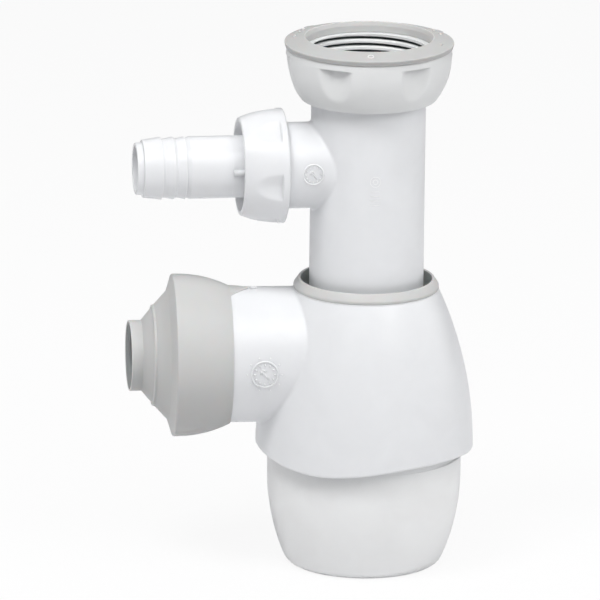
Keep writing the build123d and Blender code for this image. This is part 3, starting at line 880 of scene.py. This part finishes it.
def side_places(radius, arc_radius, level, bottom, top, count):
    """(radius, height, rounding) places up such a side."""
    heights = [bottom + (top - bottom) * k / count for k in range(count + 1)]
    return [(side_radius(radius, arc_radius, level, height), height, 0) for height in heights]


def eased(share):
    """A share from 0 to 1 with a soft start and end."""
    share = min(1.0, max(0.0, share))
    return share * share * (3 - 2 * share)


outer_side = (CUP_RADIUS, CUP_ARC_RADIUS, CUP_ARC_LEVEL)
inner_side = (CUP_RADIUS - CUP_WALL, CUP_ARC_RADIUS - CUP_WALL, CUP_ARC_LEVEL)
cup_outline = rounded(
    (CUP_SKIN_START, 0.0, 0),
    (side_radius(*outer_side, 0.0), 0.0, CUP_FOOT_ROUNDING),
    *side_places(*outer_side, CUP_FOOT_TOP, CUP_ARC_LEVEL, CUP_SIDE_STEPS),
    (CUP_RADIUS, CUP_TOP, CUP_RIM_ROUNDING),
    (CUP_RADIUS - CUP_WALL, CUP_TOP, CUP_RIM_ROUNDING),
    *reversed(side_places(*inner_side, CUP_INNER_FOOT_TOP, CUP_ARC_LEVEL, CUP_INNER_SIDE_STEPS)),
    (side_radius(*inner_side, CUP_FLOOR), CUP_FLOOR, CUP_FOOT_ROUNDING - CUP_WALL),
    (CUP_SKIN_START, CUP_FLOOR, 0),
)
cup_outline = divided(cup_outline, CUP_LONGEST)
cup_fine = []
for k, (radius, height) in enumerate(cup_outline):
    on_radius, on_height = cup_outline[(k + 1) % len(cup_outline)]
    threaded = min(height, on_height) > CUP_THREAD_START - CUP_THREAD_WIDTH
    cuts = CUP_THREAD_CUTS if threaded and radius > CUP_RADIUS - CUP_SIDE_MARGIN else 1
    for n in range(cuts):
        cup_fine.append((radius + (on_radius - radius) * n / cuts, height + (on_height - height) * n / cuts))


def cup_radius_at(angle, radius, height):
    """Raises the cup's thread from its side."""
    if radius < CUP_RADIUS - CUP_SIDE_MARGIN or not CUP_THREAD_START < height < CUP_THREAD_END:
        return radius
    place = (height - CUP_THREAD_START) / CUP_THREAD_PITCH - angle / (2 * pi)
    away = abs(place - round(place)) * CUP_THREAD_PITCH
    ends = min(1.0, min(height - CUP_THREAD_START, CUP_THREAD_END - height) / CUP_THREAD_RUNOUT)
    rise = eased((CUP_THREAD_WIDTH / 2 + CUP_THREAD_FOOT - away) / CUP_THREAD_FLANK)
    return radius + CUP_THREAD_REACH * rise * ends


cup_plastic = moulded_polypropylene("cup_polypropylene", CUP_LIT_WHITE, CUP_CORNERS)
cup = turned_piece("cup_skin", cup_fine, CUP_STEPS, upright, cup_plastic, cup_radius_at)
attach(cup, "cup")
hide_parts("cup")
finish_node("cup_seal", grey_elastomer)

# Inlet tube: polypropylene pipe with a flange inside the union nut and a side branch for the hose,
# in one moulding. A date wheel and a small column of mould marks stand on it.
BRANCH_LEVEL = 158.0
BRANCH_TURN = 3.0
BRANCH_RADIUS = 16.6
BRANCH_ROOT_RADIUS = 15.4
BRANCH_THREAD_START = 32.95
BRANCH_END = 39.15
BRANCH_PITCH = 2.309
BRANCH_WHEEL_ALONG = 23.3
BRANCH_WHEEL_TURN = -89.1
BRANCH_WHEEL_RADIUS = 3.9
BRANCH_WHEEL_LINE = (0.6, 0.45)          # width and height
BRANCH_THREAD_STEPS = 96     # for each turn
BRANCH_THREAD_LEAD = 0.9     # from the thread's start to its first crest
BRANCH_THREAD_MARGIN = 1.0
BRANCH_THREAD_RUN = 12       # steps in which it rises from the root
BRANCH_THREAD_SINK = 0.1
THREAD_SECTION = ((0.95, -0.15), (0.3, 0.75), (0.16, 0.97), (-0.16, 0.97), (-0.3, 0.75), (-0.95, -0.15))
MARK_TURN = -87.3
MARK_LEVEL = 153.0
MARK_LINE = (0.3, 0.14)                  # width and height
MARK_CIRCLES = ((2.0, 32), (0.9, 24))    # radius and steps
MARK_CIRCLE_LEVEL = 3.2
MARK_BARS = (-0.6, -2.4, -4.2, -6.0)     # heights over the marks' level
MARK_HALF = 1.7                          # half a bar's length
TUBE_CORNERS = (1.5, 0.1)

tube_plastic = moulded_polypropylene("tube_polypropylene", PP_WHITE, TUBE_CORNERS)
finish_node("inlet_tube", tube_plastic)


def on_branch(x, y, z):
    """From a frame with Z out along the hose branch and X up, to the trap's own frame."""
    bend = radians(BRANCH_TURN)
    return (-z * cos(bend) - y * sin(bend), -z * sin(bend) + y * cos(bend), BRANCH_LEVEL + x)


branch_spot = wrap(on_branch, BRANCH_RADIUS, BRANCH_WHEEL_ALONG, BRANCH_WHEEL_TURN)
branch_wheel = date_wheel("branch_date_wheel", branch_spot, BRANCH_WHEEL_RADIUS, *BRANCH_WHEEL_LINE)
mark_spot = wrap(upright, TUBE_RADIUS, MARK_LEVEL, MARK_TURN)
mark_points, mark_faces = [], []
for radius, steps in MARK_CIRCLES:
    ring = circle(radius, steps, MARK_CIRCLE_LEVEL, 0.0)
    rib(mark_points, mark_faces, mark_spot, ring, *MARK_LINE, closed=True)
for level in MARK_BARS:
    rib(mark_points, mark_faces, mark_spot, [(level, -MARK_HALF), (level, MARK_HALF)], *MARK_LINE)
tube_marks = make_piece("tube_mould_marks", mark_points, mark_faces, white_plastic)


def branch_thread():
    """The branch's thread under the hose nut, as one long ridge wound on its root."""
    depth = BRANCH_RADIUS - BRANCH_ROOT_RADIUS
    turns = (BRANCH_END - BRANCH_THREAD_START - BRANCH_THREAD_MARGIN) / BRANCH_PITCH
    steps = int(turns * BRANCH_THREAD_STEPS)
    points, faces = [], []
    for k in range(steps + 1):
        angle = 2 * pi * k / BRANCH_THREAD_STEPS
        middle = BRANCH_THREAD_START + BRANCH_THREAD_LEAD + BRANCH_PITCH * k / BRANCH_THREAD_STEPS
        ends = min(1.0, k / BRANCH_THREAD_RUN, (steps - k) / BRANCH_THREAD_RUN)
        for across, up in THREAD_SECTION:
            r = BRANCH_ROOT_RADIUS + depth * (up * ends - BRANCH_THREAD_SINK * (1 - ends))
            points.append(on_branch(r * cos(angle), r * sin(angle), middle + across))
    sides = len(THREAD_SECTION)
    for k in range(steps):
        for m in range(sides):
            n = (m + 1) % sides
            faces.append((k * sides + m, k * sides + n, (k + 1) * sides + n, (k + 1) * sides + m))
    faces.append(tuple(range(sides)))
    faces.append(tuple(range(steps * sides, (steps + 1) * sides)))
    return make_piece("branch_thread", points, faces, white_plastic)


for piece in (branch_wheel, tube_marks, branch_thread()):
    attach(piece, "riser")

# Hose tail: white polypropylene, moulded, with a collar that the union nut pulls on, a plain
# stretch for the clip, three barbs, a stepped tip and a fin that keeps it from turning.
NOZZLE_STEPS = 192
HOSE_WASHER_END = 41.15
HOSE_FLOOR_START = 43.55
NOZZLE_COLLAR = 15.9
NOZZLE_NECK = 11.95
NOZZLE_RADIUS = 12.0
NOZZLE_PLAIN_START = 53.3
NOZZLE_BORE = 8.8
NOZZLE_END = 90.0
TIP_RADIUS = 10.0
TIP_START = 87.3
FIRST_BARB = 80.2
BARB_PITCH = 4.55
BARB_RAMP = 3.4
BARB_CREST = 12.05
BARB_ROOT = 11.3
FIRST_BARB_ROOT = 11.1
FIN_START = 46.3
FIN_LENGTH = 7.0
FIN_TURN = -87.0
FIN_WIDTH = 2.6
FIN_HEIGHT = 1.6

last_barb = FIRST_BARB - 2 * BARB_PITCH
barbs = []
for n in (1, 0):
    barb_edge = FIRST_BARB - (n + 1) * BARB_PITCH
    barbs += [(BARB_CREST, barb_edge, 0.16), (BARB_ROOT, barb_edge + BARB_RAMP, 0.6)]
nozzle_outline = rounded(
    (NOZZLE_BORE, HOSE_WASHER_END, 0.3),
    (NOZZLE_COLLAR, HOSE_WASHER_END, 0.3),
    (NOZZLE_COLLAR, HOSE_FLOOR_START, 0.3),
    (NOZZLE_NECK, HOSE_FLOOR_START, 0.3),
    (NOZZLE_NECK, NOZZLE_PLAIN_START, 0.1),
    (NOZZLE_RADIUS, NOZZLE_PLAIN_START + 0.2, 0.1),
    (NOZZLE_RADIUS, last_barb - BARB_RAMP / 2, 0.5),
    (BARB_ROOT, last_barb - 0.1, 0.1),
    *barbs,
    (BARB_ROOT, FIRST_BARB - 0.1, 0.1),
    (BARB_CREST, FIRST_BARB, 0.16),
    (FIRST_BARB_ROOT, TIP_START, 0.35),
    (TIP_RADIUS + 0.1, TIP_START + 0.25, 0.25),
    (TIP_RADIUS, NOZZLE_END, 0.45),
    (NOZZLE_BORE, NOZZLE_END, 0.35),
)
nozzle = turned_piece("hose_nozzle_skin", nozzle_outline, NOZZLE_STEPS, on_branch, white_plastic)
fin_spot = wrap(on_branch, NOZZLE_NECK, FIN_START, FIN_TURN)
fin_points, fin_faces = [], []
rib(fin_points, fin_faces, fin_spot, [(0.0, 0.0), (FIN_LENGTH, 0.0)], FIN_WIDTH, FIN_HEIGHT)
fin = make_piece("hose_nozzle_fin", fin_points, fin_faces, white_plastic)
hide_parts("hose_nozzle")
for piece in (nozzle, fin):
    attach(piece, "hose_tail")
finish_node("hose_washer", grey_elastomer)

# Hose union nut: white polypropylene, with six shallow grip hollows that end in a flat wall near
# its wide rim, and a recess round the hose tail at its outer end.
HOSE_NUT_STEPS = 360
HOSE_NUT_START = 32.8
HOSE_NUT_END = 49.85
HOSE_NUT_RADIUS = 22.1
HOSE_NUT_MID = 21.35
HOSE_NUT_SMALL = 18.7
HOSE_NUT_HOLE = 12.35
HOSE_NUT_BORE = 16.95
HOSE_NUT_RECESS = 17.2
HOSE_FLOOR_END = 45.95
HOSE_RECESS_SLOPE = 1.6
GRIP_COUNT = 6
HOSE_GRIP_DEPTH = 1.75
HOSE_GRIP_CUTTER = 14.5
HOSE_GRIP_START = 35.3
HOSE_GRIP_TURN = -39.0
HOSE_GRIP_LEDGE = 0.35       # length over which the flat wall drops in
HOSE_GRIP_SOFTNESS = 0.4
HOSE_NUT_RIM = 1.2           # width of its outer rim that the hollows may cut
HOSE_NUT_SIDE_STEPS = 64
HOSE_NUT_LONGEST = 0.3       # longest stretch of its outline


def softer_minimum(a, b, softness):
    """The smaller of two radii, with a soft edge where they cross."""
    reach = max(0.0, softness - abs(a - b)) / softness
    return min(a, b) - reach * reach * softness / 4


def hollow_radius(angle, first_turn, centre, cutter):
    """Radius of the nearest grip hollow's surface in a direction, or a large one beside it."""
    pitch = 2 * pi / GRIP_COUNT
    off = (angle - radians(first_turn) + pitch / 2) % pitch - pitch / 2
    inside = cutter**2 - (centre * sin(off)) ** 2
    return centre * cos(off) - sqrt(inside) if inside > 0 else centre


def hose_nut_radius_at(angle, radius, along):
    """Draws in the grip hollows on the outside of the hose nut."""
    if radius < HOSE_NUT_SMALL - HOSE_NUT_RIM or along < HOSE_GRIP_START:
        return radius
    centre = HOSE_NUT_RADIUS - HOSE_GRIP_DEPTH + HOSE_GRIP_CUTTER
    surface = hollow_radius(angle, HOSE_GRIP_TURN, centre, HOSE_GRIP_CUTTER)
    hollow = softer_minimum(radius, surface, HOSE_GRIP_SOFTNESS)
    return radius + (hollow - radius) * eased((along - HOSE_GRIP_START) / HOSE_GRIP_LEDGE)


hose_nut_side = arc_through(
    (HOSE_NUT_RADIUS, HOSE_NUT_START),
    (HOSE_NUT_MID, (HOSE_NUT_START + HOSE_NUT_END) / 2),
    (HOSE_NUT_SMALL, HOSE_NUT_END),
    HOSE_NUT_SIDE_STEPS,
)
hose_nut_outline = rounded(
    (HOSE_NUT_BORE, HOSE_NUT_START, 0.4),
    (HOSE_NUT_RADIUS, HOSE_NUT_START, 0.8),
    *[(radius, along, 0) for radius, along in hose_nut_side[4:-3]],
    (HOSE_NUT_SMALL + 0.05, HOSE_NUT_END, 0.7),
    (HOSE_NUT_RECESS, HOSE_NUT_END, 0.35),
    (HOSE_NUT_RECESS - HOSE_RECESS_SLOPE, HOSE_FLOOR_END, 0.5),
    (HOSE_NUT_HOLE, HOSE_FLOOR_END, 0.3),
    (HOSE_NUT_HOLE, HOSE_FLOOR_START, 0.2),
    (HOSE_NUT_BORE, HOSE_FLOOR_START, 0.3),
)
hose_nut_outline = divided(hose_nut_outline, HOSE_NUT_LONGEST)
hose_nut = turned_piece(
    "hose_nut_skin", hose_nut_outline, HOSE_NUT_STEPS, on_branch, white_plastic, hose_nut_radius_at
)
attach(hose_nut, "hose_union")
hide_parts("hose_nut")

# Inlet union nut: a bowl of white polypropylene with six grip hollows under a plain band, and the
# coarse thread that takes the sink's waste. Its threads are as wide apart as they look.
NUT_STEPS = 360
NUT_BOTTOM = 184.1
NUT_TOP = 204.2
NUT_RADIUS = 31.9
NUT_ARC_RADIUS = 29.0
NUT_ARC_DROP = 2.6
NUT_FOOT_GAP = 1.0           # from its foot to where the bowl's side starts
NUT_FLOOR = 187.1
NUT_HOLE = 22.35
NUT_RELIEF_RADIUS = 24.45
NUT_RELIEF_TOP = 192.3
THREAD_RADIUS = 24.05
THREAD_PITCH = 2.68
THREAD_DEPTH = 1.6
THREAD_CREST_LEVEL = 203.35  # height of the first crest at the back
THREAD_CREST = 0.86          # width of a crest's foot and flank, in shares of half the pitch
THREAD_FLANK = 0.52
THREAD_RUNOUT = 0.8          # lengths over which it fades, at its foot and its top
THREAD_TOP_RUNOUT = 0.25
THREAD_LONGEST = 0.13        # longest stretches of the outline, along the thread and elsewhere
NUT_LONGEST = 0.5
SAME_RADIUS = 0.05
NUT_SKIN_MARGIN = 0.5        # clear of the skin inside it, when the outside is told from it
NUT_HOLE_MARGIN = 0.8
NUT_FOOT_MARGIN = 0.3        # plain edge below the grip hollows
NUT_SIDE_STEPS = 48
LIP_RADIUS = 25.55
LIP_BOTTOM = 203.9
NUT_GRIP_DEPTH = 2.4
NUT_GRIP_CUTTER = 13.5
NUT_GRIP_LEAN = 2.5
NUT_GRIP_TURN = -59.5
NUT_GRIP_TOP = 2.75
NUT_GRIP_LEDGE = 0.12
NUT_GRIP_SOFTNESS = 0.5
NUT_BAND_LEAN = 0.25         # how far its rim falls in over the plain band
NUT_WHITE = "#E4E5E5"
# painted shade in the thread's roots
THREAD_SHADE = "#2A3436"
THREAD_SHADE_TOP = 203.0
# painted highlight on the thread's crests
CREST_HIGHLIGHT = "#F0F1F1"
NUT_CORNERS = (6.0, 0.4)
NUT_UNDERSIDE_SHADE = (-0.9, -0.1, 0.93)  # painted shade: its underside is a little darker
NUT_TONE_DEPTH = (0.9, 0.15)  # how far inside its root the painted thread shade starts and ends
# Its thread's roots, corners and underside get painted shade, and its crests a painted highlight.
nut_plastic = moulded_polypropylene(
    "nut_polypropylene",
    NUT_WHITE,
    NUT_CORNERS,
    NUT_UNDERSIDE_SHADE,
    (
        THREAD_RADIUS - NUT_TONE_DEPTH[0],
        THREAD_RADIUS - NUT_TONE_DEPTH[1],
        NUT_RELIEF_TOP,
        THREAD_SHADE_TOP,
        CREST_HIGHLIGHT,
        THREAD_SHADE,
    ),
)


def nut_radius_at(angle, radius, height):
    """Draws in the grip hollows outside and raises the thread inside the union nut."""
    ledge = NUT_TOP - NUT_GRIP_TOP
    outside = height < NUT_FLOOR - NUT_SKIN_MARGIN and radius > NUT_HOLE + NUT_HOLE_MARGIN
    if outside or radius > LIP_RADIUS + NUT_SKIN_MARGIN:
        if height > ledge or height < NUT_BOTTOM + NUT_FOOT_MARGIN:
            return radius
        lean = tan(radians(NUT_GRIP_LEAN)) * (ledge - height)
        centre = NUT_RADIUS - NUT_GRIP_DEPTH + NUT_GRIP_CUTTER - lean
        surface = hollow_radius(angle, NUT_GRIP_TURN, centre, NUT_GRIP_CUTTER)
        hollow = softer_minimum(radius, surface, NUT_GRIP_SOFTNESS)
        return radius + (hollow - radius) * eased((ledge - height) / NUT_GRIP_LEDGE)
    if abs(radius - THREAD_RADIUS) < SAME_RADIUS and NUT_RELIEF_TOP < height < LIP_BOTTOM:
        place = (height - THREAD_CREST_LEVEL) / THREAD_PITCH - (angle - pi / 2) / (2 * pi)
        away = abs(place - round(place)) * 2
        crest = eased((THREAD_CREST - away) / THREAD_FLANK)
        foot, top = (height - NUT_RELIEF_TOP) / THREAD_RUNOUT, (LIP_BOTTOM - height) / THREAD_TOP_RUNOUT
        ends = min(eased(foot), eased(top))
        return radius - THREAD_DEPTH * crest * ends
    return radius


arc_top = NUT_TOP - NUT_ARC_DROP
bowl_start = NUT_BOTTOM + NUT_FOOT_GAP
bowl = [
    (NUT_RADIUS - NUT_ARC_RADIUS + sqrt(NUT_ARC_RADIUS**2 - (arc_top - height) ** 2), height, 0)
    for height in [
        bowl_start + (arc_top - bowl_start) * k / NUT_SIDE_STEPS for k in range(NUT_SIDE_STEPS + 1)
    ]
]
bowl_foot = NUT_RADIUS - NUT_ARC_RADIUS + sqrt(NUT_ARC_RADIUS**2 - (arc_top - NUT_BOTTOM) ** 2)
nut_outline = rounded(
    (NUT_HOLE, NUT_BOTTOM, 0.3),
    (bowl_foot, NUT_BOTTOM, 0.5),
    *bowl,
    (NUT_RADIUS - NUT_BAND_LEAN, NUT_TOP, 0.25),
    (LIP_RADIUS, NUT_TOP, 0),
    (LIP_RADIUS, LIP_BOTTOM, 0),
    (THREAD_RADIUS, LIP_BOTTOM, 0),
    (THREAD_RADIUS, NUT_RELIEF_TOP, 0),
    (NUT_RELIEF_RADIUS, NUT_RELIEF_TOP, 0),
    (NUT_RELIEF_RADIUS, NUT_FLOOR, 0.3),
    (NUT_HOLE, NUT_FLOOR, 0.3),
)
nut_fine = []
for k, (radius, height) in enumerate(nut_outline):
    on_radius, on_height = nut_outline[(k + 1) % len(nut_outline)]
    on_thread = max(abs(radius - THREAD_RADIUS), abs(on_radius - THREAD_RADIUS)) < SAME_RADIUS
    longest = THREAD_LONGEST if on_thread else NUT_LONGEST
    cuts = max(1, round(hypot(on_radius - radius, on_height - height) / longest))
    for n in range(cuts):
        nut_fine.append((radius + (on_radius - radius) * n / cuts, height + (on_height - height) * n / cuts))
inlet_nut = turned_piece("inlet_nut_skin", nut_fine, NUT_STEPS, upright, nut_plastic, nut_radius_at)
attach(inlet_nut, "union_nut")
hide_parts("inlet_nut")
finish_node("inlet_washer", grey_elastomer)

# Nut ring: soft grey elastomer moulded onto the nut's top face and round the inside of its mouth,
# with two lugs on its rim and a few raised pips that the fingers feel.
NUT_RING_STEPS = 480
NUT_RING_LONGEST = 0.5       # longest stretch of its outline
NUT_RING_RADIUS = 32.5
NUT_RING_TOP = 206.2         # at its rim
NUT_RING_MOUTH = 208.25
NUT_RING_STEP = 206.5        # foot of the slope inside its mouth
NUT_RING_SLOPE = 0.6
NUT_RING_LIP = 203.9
NUT_RING_BEVEL = 0.45        # its side falls in towards the nut
NUT_RING_BEVEL_HEIGHT = 1.5
LUG_DIRECTIONS = (131.0, 29.0)
LUG_HALF_WIDTH = 4.0         # degrees of the rim
LUG_REACH = 0.8
LUG_DEPTH = 0.4              # how far inside the nut's rim a lug starts
RING_CORNERS = (1.5, 0.3)
RING_GREY = "#BBBBBA"
RING_INSIDE_LIGHT = "#CECECD"      # painted light on the slope inside its mouth
RING_INSIDE_RADIUS = 24.75
RING_SEAT = 0.02             # over the nut's top face
PIP_CIRCLE = 28.6
PIP_RING_DIRECTION = -94.0
PIP_RING_RADIUS = 1.1
PIP_RING_STEPS = 24
PIP_RING_LINE = (0.45, 0.3)  # width and height
PIP_DROP_HALF = 0.8
PIP_DROP_LINE = (0.7, 0.5)
PIP_DROPS = ((168.0, 0.5), (155.0, -0.3), (146.0, 0.4), (14.0, 0.3), (24.0, -0.3), (-22.0, 0.2))


def nut_ring_radius_at(angle, radius, height):
    """Adds the two lugs to the ring's rim."""
    if radius < NUT_RADIUS - LUG_DEPTH:
        return radius
    reach = 0.0
    for direction in LUG_DIRECTIONS:
        off = (angle - radians(direction) + pi) % (2 * pi) - pi
        reach += LUG_REACH * exp(-((off / radians(LUG_HALF_WIDTH)) ** 4))
    return radius + reach


ring_outline = rounded(
    (LIP_RADIUS, NUT_TOP + RING_SEAT, 0),
    (NUT_RING_RADIUS - NUT_RING_BEVEL, NUT_TOP + RING_SEAT, 0.2),
    (NUT_RING_RADIUS, NUT_TOP + NUT_RING_BEVEL_HEIGHT, 0.3),
    (NUT_RING_RADIUS, NUT_RING_TOP, 0.3),
    (THREAD_RADIUS + NUT_RING_SLOPE, NUT_RING_MOUTH, 0.2),
    (THREAD_RADIUS, NUT_RING_STEP, 0.15),
    (THREAD_RADIUS, NUT_RING_LIP, 0),
    (LIP_RADIUS, NUT_RING_LIP, 0),
)
ring_outline = divided(ring_outline, NUT_RING_LONGEST)
ring_elastomer = soft_elastomer(
    "nut_ring_elastomer",
    RING_GREY,
    RING_CORNERS,
    (UPRIGHT_AXIS, TRAP_CENTRE, RING_INSIDE_RADIUS, RING_INSIDE_LIGHT),
)
nut_ring = turned_piece(
    "inlet_nut_ring_skin", ring_outline, NUT_RING_STEPS, upright, ring_elastomer, nut_ring_radius_at
)
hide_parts("inlet_nut_ring")


def cone_spot(a, b, height):
    """Maps (along the middle circle, outwards, height) to the ring's sloping top."""
    radius = PIP_CIRCLE + b
    slope = (NUT_RING_MOUTH - NUT_RING_TOP) / (NUT_RING_RADIUS - THREAD_RADIUS)
    level = NUT_RING_TOP + slope * (NUT_RING_RADIUS - radius)
    angle = a / PIP_CIRCLE
    return (radius * cos(angle), radius * sin(angle), level + height)


def ring_pips():
    """Small raised drops and one small circle on the ring's top face."""
    points, faces = [], []
    middle = radians(PIP_RING_DIRECTION) * PIP_CIRCLE
    ring = circle(PIP_RING_RADIUS, PIP_RING_STEPS, middle, 0.0)
    rib(points, faces, cone_spot, ring, *PIP_RING_LINE, closed=True)
    for direction, lean in PIP_DROPS:
        middle = radians(direction) * PIP_CIRCLE
        line = [(middle - PIP_DROP_HALF, lean), (middle, 0.0), (middle + PIP_DROP_HALF, lean)]
        rib(points, faces, cone_spot, line, *PIP_DROP_LINE)
    return make_piece("nut_ring_pips", points, faces, ring_elastomer)


for piece in (nut_ring, ring_pips()):
    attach(piece, "union_nut")
